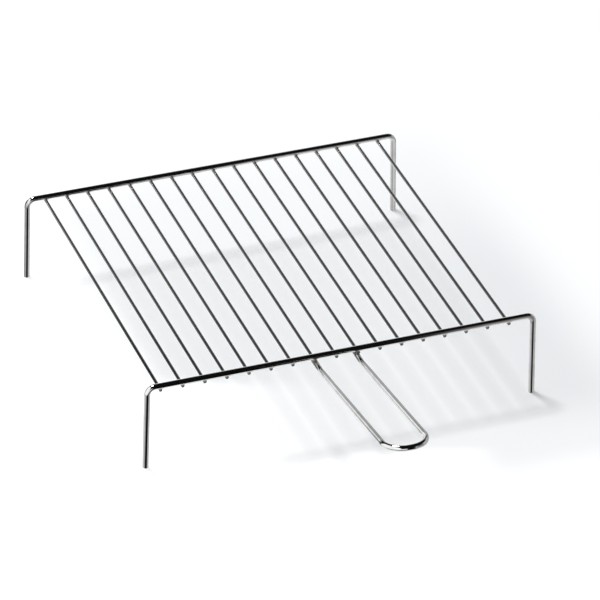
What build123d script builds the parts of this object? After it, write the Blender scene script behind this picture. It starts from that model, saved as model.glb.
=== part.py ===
from build123d import *
import math
import os

# Hearth broiler: a low wire grill that stands over embers, all of bright plated round wire.
# Two bent leg frames carry seventeen thin cross wires beneath their bars, and a long loop
# handle rises to the front from beneath two of those wires. Every crossing is welded.
# Frame: +Z up, the floor at zero, the handle towards -Y, the middle cross wire at X = 0
# and the origin midway between the two bars.

# wire gauges
frame_gauge = 6.0
grid_gauge = 3.4
handle_gauge = 6.0

# leg frames, measured on the wire's centre line
rear_leg_spacing = 393.5
front_leg_spacing = 395.5
bar_spacing = 357.0
bar_height = 90.2
corner_radius = 7.5
foot_splay = 2.0
rear_frame_offset = -1.0
front_frame_offset = 6.4

# cross wires
wire_count = 17
wire_pitch = 22.3
wire_end_inset = 1.5

# how far a weld sinks one wire into the other
weld_set_down = 0.7

# handle: behind the front bar, ahead of it, and its bends
arm_inset = 1.1
arm_lap = 11.5
handle_reach = 196.5
rise_start = 10.0
rise_radius = 40.0
rise_angle = 8.2
loop_corner_radius = 20.0

# heights and places that follow from the sizes above
wire_height = bar_height - (frame_gauge + grid_gauge) / 2 + weld_set_down
wire_length = bar_spacing + frame_gauge - 2 * wire_end_inset
front_bar = -bar_spacing / 2
rear_bar = bar_spacing / 2
arm_back = front_bar + arm_lap
arm_offset = wire_pitch - arm_inset
arm_touch = (grid_gauge + handle_gauge) / 2 - weld_set_down
arm_height = wire_height - math.sqrt(arm_touch**2 - arm_inset**2)
middle_wire = wire_count // 2
handle_wires = {middle_wire - 1: -arm_offset, middle_wire + 1: arm_offset}


def wire_place(number):
    """Distance of a cross wire from the middle one, counted from the left."""
    return (number - (wire_count - 1) / 2) * wire_pitch


def bent_wire(points, radii, gauge):
    """Round wire swept along straight runs joined by tangent bends."""
    path = FilletPolyline(*points, radius=radii)
    section = path.location_at(0) * Circle(gauge / 2)
    return sweep(section, path=path)


def leg_frame(place, offset, spacing):
    """One bar with a leg bent down at each end, the feet cut level with the floor."""
    run_out = frame_gauge
    splay_slope = foot_splay / bar_height
    half = spacing / 2
    foot = half + foot_splay + run_out * splay_slope
    points = [
        (offset - foot, place, -run_out),
        (offset - half, place, bar_height),
        (offset + half, place, bar_height),
        (offset + foot, place, -run_out),
    ]
    wire = bent_wire(points, [corner_radius, corner_radius], frame_gauge)
    floor_cut = Pos(offset, place, -run_out) * Box(2 * foot + 4 * frame_gauge, 4 * frame_gauge, 2 * run_out)
    return wire - floor_cut


def handle():
    """Loop of wire: two level arms, a bend upwards and a long run out to a rounded grip."""
    turn = rise_start + rise_radius * math.tan(math.radians(rise_angle) / 2)
    tip_rise = (handle_reach - turn) * math.tan(math.radians(rise_angle))
    tip = front_bar - handle_reach
    points = [
        (-arm_offset, arm_back, arm_height),
        (-arm_offset, front_bar - turn, arm_height),
        (-arm_offset, tip, arm_height + tip_rise),
        (arm_offset, tip, arm_height + tip_rise),
        (arm_offset, front_bar - turn, arm_height),
        (arm_offset, arm_back, arm_height),
    ]
    radii = [rise_radius, loop_corner_radius, loop_corner_radius, rise_radius]
    return bent_wire(points, radii, handle_gauge)


def straight_wire(gauge, length, centre):
    """Round wire with sheared ends, from front to back."""
    return Pos(*centre) * Rotation(90, 0, 0) * Cylinder(gauge / 2, length)


def arm_seat(side):
    """The level stretch of one arm, as far as it lies beneath its cross wire."""
    front_end = front_bar - rise_start
    centre = (side, (arm_back + front_end) / 2, arm_height)
    return straight_wire(handle_gauge, arm_back - front_end, centre)


os.makedirs("parts", exist_ok=True)

rear_frame = leg_frame(rear_bar, rear_frame_offset, rear_leg_spacing)
front_frame = leg_frame(front_bar, front_frame_offset, front_leg_spacing)
grip = handle()

pieces = {"rear_leg_frame": rear_frame, "front_leg_frame": front_frame, "handle": grip}
for number in range(wire_count):
    wire = straight_wire(grid_gauge, wire_length, (wire_place(number), 0, wire_height))
    if number in handle_wires:
        wire -= arm_seat(handle_wires[number])
    wire -= rear_frame
    wire -= front_frame
    pieces[f"cross_wire_{number + 1:02d}"] = wire

for name, piece in pieces.items():
    export_step(piece, f"parts/{name}.step")
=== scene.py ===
import math

import bmesh
import bpy
from mathutils import Matrix, Vector


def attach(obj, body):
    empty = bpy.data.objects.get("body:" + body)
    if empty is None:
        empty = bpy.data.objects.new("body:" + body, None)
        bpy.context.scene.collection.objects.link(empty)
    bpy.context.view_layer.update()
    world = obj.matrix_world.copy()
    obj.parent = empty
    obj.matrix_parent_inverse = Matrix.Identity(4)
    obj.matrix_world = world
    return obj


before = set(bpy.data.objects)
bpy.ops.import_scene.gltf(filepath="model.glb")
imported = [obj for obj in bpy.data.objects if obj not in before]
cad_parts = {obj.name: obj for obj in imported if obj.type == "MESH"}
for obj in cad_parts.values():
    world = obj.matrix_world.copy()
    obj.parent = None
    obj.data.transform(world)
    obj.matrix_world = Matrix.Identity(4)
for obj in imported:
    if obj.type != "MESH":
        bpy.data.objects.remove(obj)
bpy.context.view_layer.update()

print("broiler: loaded", len(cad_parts), "wires")

mm = 0.001
wirePitch = 22.3 * mm
wireNames = sorted(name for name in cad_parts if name.startswith("cross_wire"))
barDepth = 178.5 * mm  # from the middle to either bar's centre line
barHeight = 90.2 * mm


# shader maths is written as expressions on wrapped sockets
class Term:
    def __init__(self, graph, socket):
        self.graph = graph
        self.socket = socket

    def __add__(self, other):
        return self.graph.maths("ADD", self, other)

    def __radd__(self, other):
        return self.graph.maths("ADD", other, self)

    def __sub__(self, other):
        return self.graph.maths("SUBTRACT", self, other)

    def __rsub__(self, other):
        return self.graph.maths("SUBTRACT", other, self)

    def __mul__(self, other):
        return self.graph.maths("MULTIPLY", self, other)

    def __rmul__(self, other):
        return self.graph.maths("MULTIPLY", other, self)

    def __abs__(self):
        return self.graph.maths("ABSOLUTE", self)


class Graph:
    def __init__(self, owner):
        owner.use_nodes = True
        self.tree = owner.node_tree
        self.tree.nodes.clear()

    # settings come first, then values or links by the socket's name or number
    def node(self, kind, settings=None, inputs=None, output=0):
        made = self.tree.nodes.new(kind)
        for name, value in (settings or {}).items():
            setattr(made, name, value)
        for name, value in (inputs or {}).items():
            if isinstance(value, Term):
                self.tree.links.new(value.socket, made.inputs[name])
            else:
                made.inputs[name].default_value = value
        return Term(self, made.outputs[output]) if made.outputs else None

    def maths(self, operation, *values):
        return self.node("ShaderNodeMath", {"operation": operation}, dict(enumerate(values)))

    def largest(self, first, *others):
        for other in others:
            first = self.maths("MAXIMUM", first, other)
        return first

    # 0 before an edge's start, 1 past its end, smooth between; the start may be the larger
    def rise(self, value, edge):
        start, end = edge
        low, high, first, last = (start, end, 0.0, 1.0) if start < end else (end, start, 1.0, 0.0)
        return self.node(
            "ShaderNodeMapRange",
            {"interpolation_type": "SMOOTHSTEP"},
            {"Value": value, "From Min": low, "From Max": high, "To Min": first, "To Max": last},
        )

    def blend(self, factor, first, second):
        return self.node("ShaderNodeMix", {"data_type": "RGBA"}, {0: factor, 6: first, 7: second}, 2)

    def place(self):
        return self.node("ShaderNodeTexCoord", output="Object")

    def axes(self, vector):
        return [self.node("ShaderNodeSeparateXYZ", inputs={0: vector}, output=i) for i in range(3)]

    def noise(self, vector, stretch, detail=2.0):
        mapping = {"Vector": vector, "Scale": stretch}
        stretched = self.node("ShaderNodeMapping", {"vector_type": "POINT"}, mapping)
        return self.node("ShaderNodeTexNoise", None, {"Vector": stretched, "Scale": 1.0, "Detail": detail})


# bright plated wire: its colours, its gloss and the fine marks of drawing
plating = {
    "bright": (0.82, 0.82, 0.82),
    "gridShine": 0.80,  # the thin wires' plating is a little darker
    "worn": (0.68, 0.68, 0.68, 1.0),
    "sheared": (0.36, 0.35, 0.34, 1.0),
    "heated": (0.42, 0.40, 0.38, 1.0),
    "heat": 0.8,
    "wearEdge": (0.55, 0.95),
    "streakWear": 0.35,
    "clouds": (70, 70, 70),
    "cloudDetail": 3.0,
    "specks": (900, 900, 900),
    "speckDetail": 1.0,
    "speckEdge": (0.66, 0.74),
    "grainAcross": 1400,
    "grainAlong": 16,
    "legTop": (barHeight - 4.0 * mm, barHeight - 8.0 * mm),
    "roughness": 0.03,
    "streakRoughness": 0.06,
    "speckRoughness": 0.08,
    "weldRoughness": 0.22,
    "cutRoughness": 0.40,
    "markStrength": 0.35,
    "markDepth": 0.02 * mm,
    "streakHeight": 0.6,
    "speckHeight": 0.4,
}

# the marks that the welds leave under the bars and round each cross wire
weldMarks = {
    "besideWire": (4.2 * mm, 1.6 * mm),
    "besideBar": (5.5 * mm, 2.6 * mm),
    "top": (barHeight + 1.0 * mm, barHeight - 2.2 * mm),
    "bottom": (barHeight - 9.0 * mm, barHeight - 6.5 * mm),
}

# where the bare cut ends begin
cuts = {
    "wireEnds": (179.85 * mm, 179.95 * mm),
    "feet": (0.25 * mm, 0.05 * mm),
    "arms": (-167.12 * mm, -167.04 * mm),
}


def crossingMask(graph, x, y, z):
    steps = graph.node("ShaderNodeMath", {"operation": "PINGPONG"}, {0: x, 1: wirePitch / 2})
    nearWire = graph.rise(steps, weldMarks["besideWire"])
    nearBar = graph.rise(abs(abs(y) - barDepth), weldMarks["besideBar"])
    return nearWire * nearBar * graph.rise(z, weldMarks["top"]) * graph.rise(z, weldMarks["bottom"])


def platedWire(name, streaks, cutMask, shine=1.0):
    material = bpy.data.materials.new(name)
    graph = Graph(material)
    place = graph.place()
    x, y, z = graph.axes(place)
    streak = streaks(graph, place, z)
    cloud = graph.noise(place, plating["clouds"], plating["cloudDetail"])
    speck = graph.rise(graph.noise(place, plating["specks"], plating["speckDetail"]), plating["speckEdge"])
    weld = crossingMask(graph, x, y, z)
    cut = cutMask(graph, y, z)

    bright = [shine * value for value in plating["bright"]] + [1.0]
    wear = graph.rise(cloud + streak * plating["streakWear"], plating["wearEdge"])
    colour = graph.blend(wear, bright, plating["worn"])
    colour = graph.blend(weld * plating["heat"], colour, plating["heated"])
    colour = graph.blend(cut, colour, plating["sheared"])
    roughness = (
        plating["roughness"]
        + streak * plating["streakRoughness"]
        + speck * plating["speckRoughness"]
        + weld * plating["weldRoughness"]
        + cut * plating["cutRoughness"]
    )
    relief = streak * plating["streakHeight"] + speck * plating["speckHeight"]
    marks = {"Strength": plating["markStrength"], "Distance": plating["markDepth"], "Height": relief}
    bump = graph.node("ShaderNodeBump", None, marks)
    surface = graph.node(
        "ShaderNodeBsdfPrincipled",
        None,
        {"Base Color": colour, "Metallic": 1.0, "Roughness": roughness, "Normal": bump},
    )
    graph.node("ShaderNodeOutputMaterial", None, {"Surface": surface})
    return material


def streaksAlongY(graph, place, z):
    across, along = plating["grainAcross"], plating["grainAlong"]
    return graph.noise(place, (across, along, across))


# along the bar, and down the legs below its bends
def streaksRoundFrame(graph, place, z):
    across, along = plating["grainAcross"], plating["grainAlong"]
    onBar = graph.noise(place, (along, across, across))
    onLegs = graph.noise(place, (across, across, along))
    leg = graph.rise(z, plating["legTop"])
    return onBar * (1 - leg) + onLegs * leg


def shearedWireEnds(graph, y, z):
    return graph.rise(abs(y), cuts["wireEnds"])


def cutFeet(graph, y, z):
    return graph.rise(z, cuts["feet"])


def shearedArms(graph, y, z):
    return graph.rise(y, cuts["arms"])


frameFinish = platedWire("platedFrameWire", streaksRoundFrame, cutFeet)
handleFinish = platedWire("platedHandleWire", streaksAlongY, shearedArms)
gridFinish = platedWire("platedGridWire", streaksAlongY, shearedWireEnds, plating["gridShine"])
finishes = {"rear_leg_frame": frameFinish, "front_leg_frame": frameFinish, "handle": handleFinish}
for name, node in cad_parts.items():
    node.data.materials.clear()
    node.data.materials.append(finishes.get(name, gridFinish))
print("broiler: plated")


# the small nuggets that resistance welding squeezes out where two wires meet, as half sizes
nuggets = {
    "alongBar": 2.0 * mm,
    "acrossBar": 2.2 * mm,
    "height": 1.0 * mm,
    "level": 87.5 * mm,
    "sides": 16,
    "rings": 10,
}


def squashedBall(shape, centre, size):
    made = bmesh.ops.create_uvsphere(
        shape, u_segments=nuggets["sides"], v_segments=nuggets["rings"], radius=1.0
    )
    squash = Matrix.Translation(centre) @ Matrix.Diagonal((*size, 1.0))
    bmesh.ops.transform(shape, matrix=squash, verts=made["verts"])


def finishedPiece(name, shape, material):
    mesh = bpy.data.meshes.new(name)
    for face in shape.faces:
        face.smooth = True
    shape.to_mesh(mesh)
    shape.free()
    mesh.materials.append(material)
    piece = bpy.data.objects.new(name, mesh)
    bpy.context.scene.collection.objects.link(piece)
    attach(piece, "root")


def weldNuggets(name, side):
    shape = bmesh.new()
    size = (nuggets["alongBar"], nuggets["acrossBar"], nuggets["height"])
    for number in range(len(wireNames)):
        across = (number - (len(wireNames) - 1) / 2) * wirePitch
        squashedBall(shape, (across, side * barDepth, nuggets["level"]), size)
    finishedPiece(name, shape, frameFinish)


weldNuggets("weld_nuggets_rear", 1)
weldNuggets("weld_nuggets_front", -1)
print("broiler: welds")


# the pale floor, which the camera sees with the broiler's shadow; the metal mirrors the studio instead
floor = {
    "half": 4.0,
    "colour": (0.80, 0.82, 0.84, 1.0),
    # painted shade where the lift is lower, on the grey patch round the grid and on its right
    "lift": 0.22,  # towards white, for the camera's own rays alone, on the grey shade
    "whiteLift": 0.30,  # the same outside it
    # painted light: at the left and in front the floor is lifted further, which washes the broiler's shadow
    # out there
    "whiterLift": 0.25,  # and what is added at the left and in front
    "whiteLeft": (-0.02, -0.12),
    "greyLeft": (-0.19, -0.11),
    "greyRight": (0.36, 0.25),
    "greyBack": (0.38, 0.26),
    "greyFront": (-0.37, -0.27),
    "front": (-0.03, -0.11),
    "frontShift": 0.155,
    "nearer": (-0.21, -0.26),
    "nearerShift": 0.10,
    # a darker patch painted right of the grid, as shade where the lamp falls off
    "dimPlace": 0.25,
    "dimEdge": (0.15, 0.0),
    "dimBack": (0.28, 0.0),
    "dimFront": (-0.27, -0.18),
    "paintedFalloffShade": 0.10,
}


def floorMaterial():
    material = bpy.data.materials.new("paleFloor")
    graph = Graph(material)
    camera = graph.node("ShaderNodeLightPath", output="Is Camera Ray")
    x, y, z = graph.axes(graph.place())
    paint = graph.node("ShaderNodeBsdfDiffuse", None, {"Color": floor["colour"]})
    # painted shade: the floor is lifted less round the grid and on its right, so it shows grey there, and
    # darkest in a patch right of the grid that stands in for the lamp's falloff; elsewhere it is lifted to
    # white, and painted lighter still at the left and in front, which washes the broiler's shadow out there
    nearer = graph.rise(y, floor["nearer"])
    stepped = x - graph.rise(y, floor["front"]) * floor["frontShift"] - nearer * floor["nearerShift"]
    paintedShade = graph.rise(stepped, floor["greyLeft"]) * graph.rise(x, floor["greyRight"])
    paintedShade = paintedShade * graph.rise(y, floor["greyBack"]) * graph.rise(y, floor["greyFront"])
    paintedFalloffShade = graph.rise(abs(x - floor["dimPlace"]), floor["dimEdge"]) * graph.rise(y, floor["dimBack"])
    paintedFalloffShade = paintedFalloffShade * graph.rise(y, floor["dimFront"])
    paintedLightWash = graph.largest(graph.rise(x, floor["whiteLeft"]), nearer)
    white = floor["whiteLift"] + paintedLightWash * floor["whiterLift"]
    strength = white * (1 - paintedShade) + (floor["lift"] - paintedFalloffShade * floor["paintedFalloffShade"]) * paintedShade
    lift = graph.node("ShaderNodeEmission", None, {"Color": (1, 1, 1, 1), "Strength": strength})
    lifted = graph.node("ShaderNodeAddShader", None, {0: paint, 1: lift})
    above = graph.node("ShaderNodeMixShader", None, {0: camera, 1: paint, 2: lifted})
    # from beneath it is clear, so the underside can be looked at
    beneath = graph.node("ShaderNodeNewGeometry", output="Backfacing")
    clear = graph.node("ShaderNodeBsdfTransparent")
    surface = graph.node("ShaderNodeMixShader", None, {0: beneath, 1: above, 2: clear})
    graph.node("ShaderNodeOutputMaterial", None, {"Surface": surface})
    return material


def paleFloor():
    shape = bmesh.new()
    bmesh.ops.create_grid(shape, x_segments=1, y_segments=1, size=floor["half"])
    mesh = bpy.data.meshes.new("floor")
    shape.to_mesh(mesh)
    shape.free()
    mesh.materials.append(floorMaterial())
    ground = bpy.data.objects.new("floor", mesh)
    bpy.context.scene.collection.objects.link(ground)
    ground.visible_glossy = False


paleFloor()
print("broiler: floor")


# what the metal mirrors, by the direction it looks in: a white sweep low at the back with a haze above it,
# white paper straight below, pale floor at both sides, a soft box at the left, a low white wall at the front
# left and a pale one at the right; the rest is dark, and each pair is an edge, from nothing to full
room = {
    "ambient": 0.50,  # what lights anything but metal
    "darkness": 0.004,
    "sweepTop": (0.38, 0.22),
    "sweepTilt": 0.4,
    "sweepTurn": 3.0,
    "turnStart": 0.75,
    "turnLevel": 0.9,
    "sweepSide": (-0.10, 0.25),
    "sweepLeft": (0.17, 0.33),
    "sweepLeftLow": (-0.25, -0.40),
    "sweepRight": (0.64, 0.48),
    "haze": 0.45,
    "hazeTop": (0.47, 0.42),
    "below": (-0.68, -0.86),
    "sideFloor": 0.48,
    "sideFloorTop": (0.30, 0.05),
    "leftFloor": (-0.45, -0.78),
    "rightFloor": (0.34, 0.72),
    "softBoxRight": (-0.36, -0.50),
    "softBoxBack": (0.70, 0.55),
    "softBoxBottom": (-0.45, -0.25),
    "softBoxLevel": 1.2,
    "wallRight": (0.12, -0.05),
    "wallTop": (0.25, 0.08),
    "wallBottom": (-0.50, -0.35),
    "wallBack": (0.0, -0.3),
    "paleLeft": (0.42, 0.58),
    "paleTop": (0.55, 0.35),
    "paleBottom": (-0.52, -0.40),
    "paleBack": (0.72, 0.60),
    "paleLevel": 0.5,
}


def studioRoom():
    world = bpy.data.worlds.new("studio")
    bpy.context.scene.world = world
    graph = Graph(world)
    x, y, z = graph.axes(graph.node("ShaderNodeTexCoord", output="Generated"))
    camera = graph.node("ShaderNodeLightPath", output="Is Camera Ray")
    glossy = graph.node("ShaderNodeLightPath", output="Is Glossy Ray")

    turned = (room["turnLevel"] - graph.largest(y, room["turnStart"])) * room["sweepTurn"]
    sweep = graph.rise(z + x * room["sweepTilt"] + turned, room["sweepTop"])
    haze = graph.rise(z, room["hazeTop"]) * room["haze"]
    left = graph.largest(graph.rise(x + y, room["sweepLeft"]), graph.rise(z, room["sweepLeftLow"]))
    sweep = graph.largest(sweep, haze) * graph.rise(y, room["sweepSide"])
    sweep = sweep * left * graph.rise(x, room["sweepRight"])
    below = graph.rise(z, room["below"])
    low = graph.rise(z, room["sideFloorTop"]) * room["sideFloor"]
    sides = graph.largest(graph.rise(x, room["leftFloor"]), graph.rise(x, room["rightFloor"])) * low
    box = graph.rise(x, room["softBoxRight"]) * graph.rise(y, room["softBoxBack"])
    box = box * graph.rise(z, room["softBoxBottom"]) * room["softBoxLevel"]
    wall = graph.rise(x, room["wallRight"]) * graph.rise(y, room["wallBack"])
    wall = wall * graph.rise(z, room["wallTop"]) * graph.rise(z, room["wallBottom"])
    pale = graph.rise(x, room["paleLeft"]) * graph.rise(y, room["paleBack"])
    pale = pale * graph.rise(z, room["paleTop"]) * graph.rise(z, room["paleBottom"]) * room["paleLevel"]

    mirrored = graph.largest(sweep, below, sides, box, wall, pale, room["darkness"])
    strength = glossy * mirrored + (1 - glossy) * room["ambient"]
    strength = camera + (1 - camera) * strength
    air = graph.node("ShaderNodeBackground", None, {"Color": (1, 1, 1, 1), "Strength": strength})
    graph.node("ShaderNodeOutputWorld", None, {"Surface": air})


# upright cards round the broiler that only the metal sees; each fades in over its edge along one axis, and
# its level at the floor's height changes by its slope for each metre up
cards = {
    "greyCardFront": {
        "from": (0.28, -0.80, -1.40), "to": (1.60, -0.80, 0.65),
        "axis": "x", "edge": (0.28, 0.40), "level": 0.27, "slope": -0.40,
    },
    "greyCardBack": {
        "from": (0.0, 1.0, 0.66), "to": (1.3, 1.0, 1.20),
        "axis": "x", "edge": (0.0, 0.40), "level": 0.12, "slope": 0.0,
    },
    "greyCardUnder": {
        "from": (-0.02, -0.10, -0.55), "to": (0.60, -0.10, -0.02),
        "axis": "x", "edge": (-0.02, 0.06), "level": 0.66, "slope": 0.0,
    },
    "darkCardLeft": {
        "from": (-0.75, 0.25, -0.90), "to": (-0.75, 0.90, 0.60),
        "axis": "y", "edge": (0.90, 0.76), "level": 0.08, "slope": -0.50,
    },
    "greyCardMiddle": {
        "from": (0.02, -0.03, -0.50), "to": (0.02, 0.28, -0.02),
        "axis": "y", "edge": (-0.03, 0.03), "level": 0.60, "slope": 0.0,
    },
}


def cardMaterial(name, card):
    material = bpy.data.materials.new(name)
    graph = Graph(material)
    x, y, z = graph.axes(graph.place())
    level = graph.largest(z * card["slope"] + card["level"], 0.0)
    shade = graph.node("ShaderNodeEmission", None, {"Color": (1, 1, 1, 1), "Strength": level})
    clear = graph.node("ShaderNodeBsdfTransparent")
    edge = graph.rise({"x": x, "y": y}[card["axis"]], card["edge"])
    surface = graph.node("ShaderNodeMixShader", None, {0: edge, 1: clear, 2: shade})
    graph.node("ShaderNodeOutputMaterial", None, {"Surface": surface})
    return material


def mirrorCard(name, card):
    low, high = card["from"], card["to"]
    shape = bmesh.new()
    corners = [
        (low[0], low[1], low[2]),
        (high[0], high[1], low[2]),
        (high[0], high[1], high[2]),
        (low[0], low[1], high[2]),
    ]
    shape.faces.new([shape.verts.new(corner) for corner in corners])
    mesh = bpy.data.meshes.new(name)
    shape.to_mesh(mesh)
    shape.free()
    mesh.materials.append(cardMaterial(name, card))
    sheet = bpy.data.objects.new(name, mesh)
    bpy.context.scene.collection.objects.link(sheet)
    for kind in ("camera", "diffuse", "transmission", "volume_scatter", "shadow"):
        setattr(sheet, "visible_" + kind, False)


# the one soft lamp, high behind the broiler and to its left, so its shadow falls forwards and to the right
overheadLamp = {
    "place": (-0.60, 1.42, 4.27),
    "aim": (0, 0, 0),
    "size": 1.0,
    "power": 88,
}


def softLamp():
    data = bpy.data.lights.new("overheadLamp", "AREA")
    data.shape = "DISK"
    data.size = overheadLamp["size"]
    data.energy = overheadLamp["power"]
    lamp = bpy.data.objects.new("overheadLamp", data)
    bpy.context.scene.collection.objects.link(lamp)
    place = Vector(overheadLamp["place"])
    turn = (place - Vector(overheadLamp["aim"])).to_track_quat("Z", "Y").to_matrix().to_4x4()
    lamp.matrix_world = Matrix.Translation(place) @ turn


for name, card in cards.items():
    mirrorCard(name, card)
studioRoom()
softLamp()
print("broiler: studio")


# the photograph's view
view = {
    "azimuth": -20.7638,
    "elevation": 33.1661,
    "roll": 1.1309,
    "distance": 4.96387,
    "aim": (0.032108, 0.007434, 0.028352),
    "lens": 298.64,
    "sensor": 36.0,
    "reach": 50.0,
}


def photographView():
    data = bpy.data.cameras.new("camera")
    data.lens = view["lens"]
    data.sensor_width = view["sensor"]
    data.clip_end = view["reach"]
    camera = bpy.data.objects.new("camera", data)
    bpy.context.scene.collection.objects.link(camera)
    turn = Matrix.Rotation(math.radians(view["azimuth"]), 4, "Z")
    tilt = Matrix.Rotation(math.radians(90 - view["elevation"]), 4, "X")
    roll = Matrix.Rotation(math.radians(view["roll"]), 4, "Z")
    back = Matrix.Translation((0, 0, view["distance"]))
    camera.matrix_world = Matrix.Translation(view["aim"]) @ turn @ tilt @ roll @ back
    bpy.context.scene.camera = camera


photographView()
bpy.context.scene.view_settings.view_transform = "Standard"
print("broiler: view")
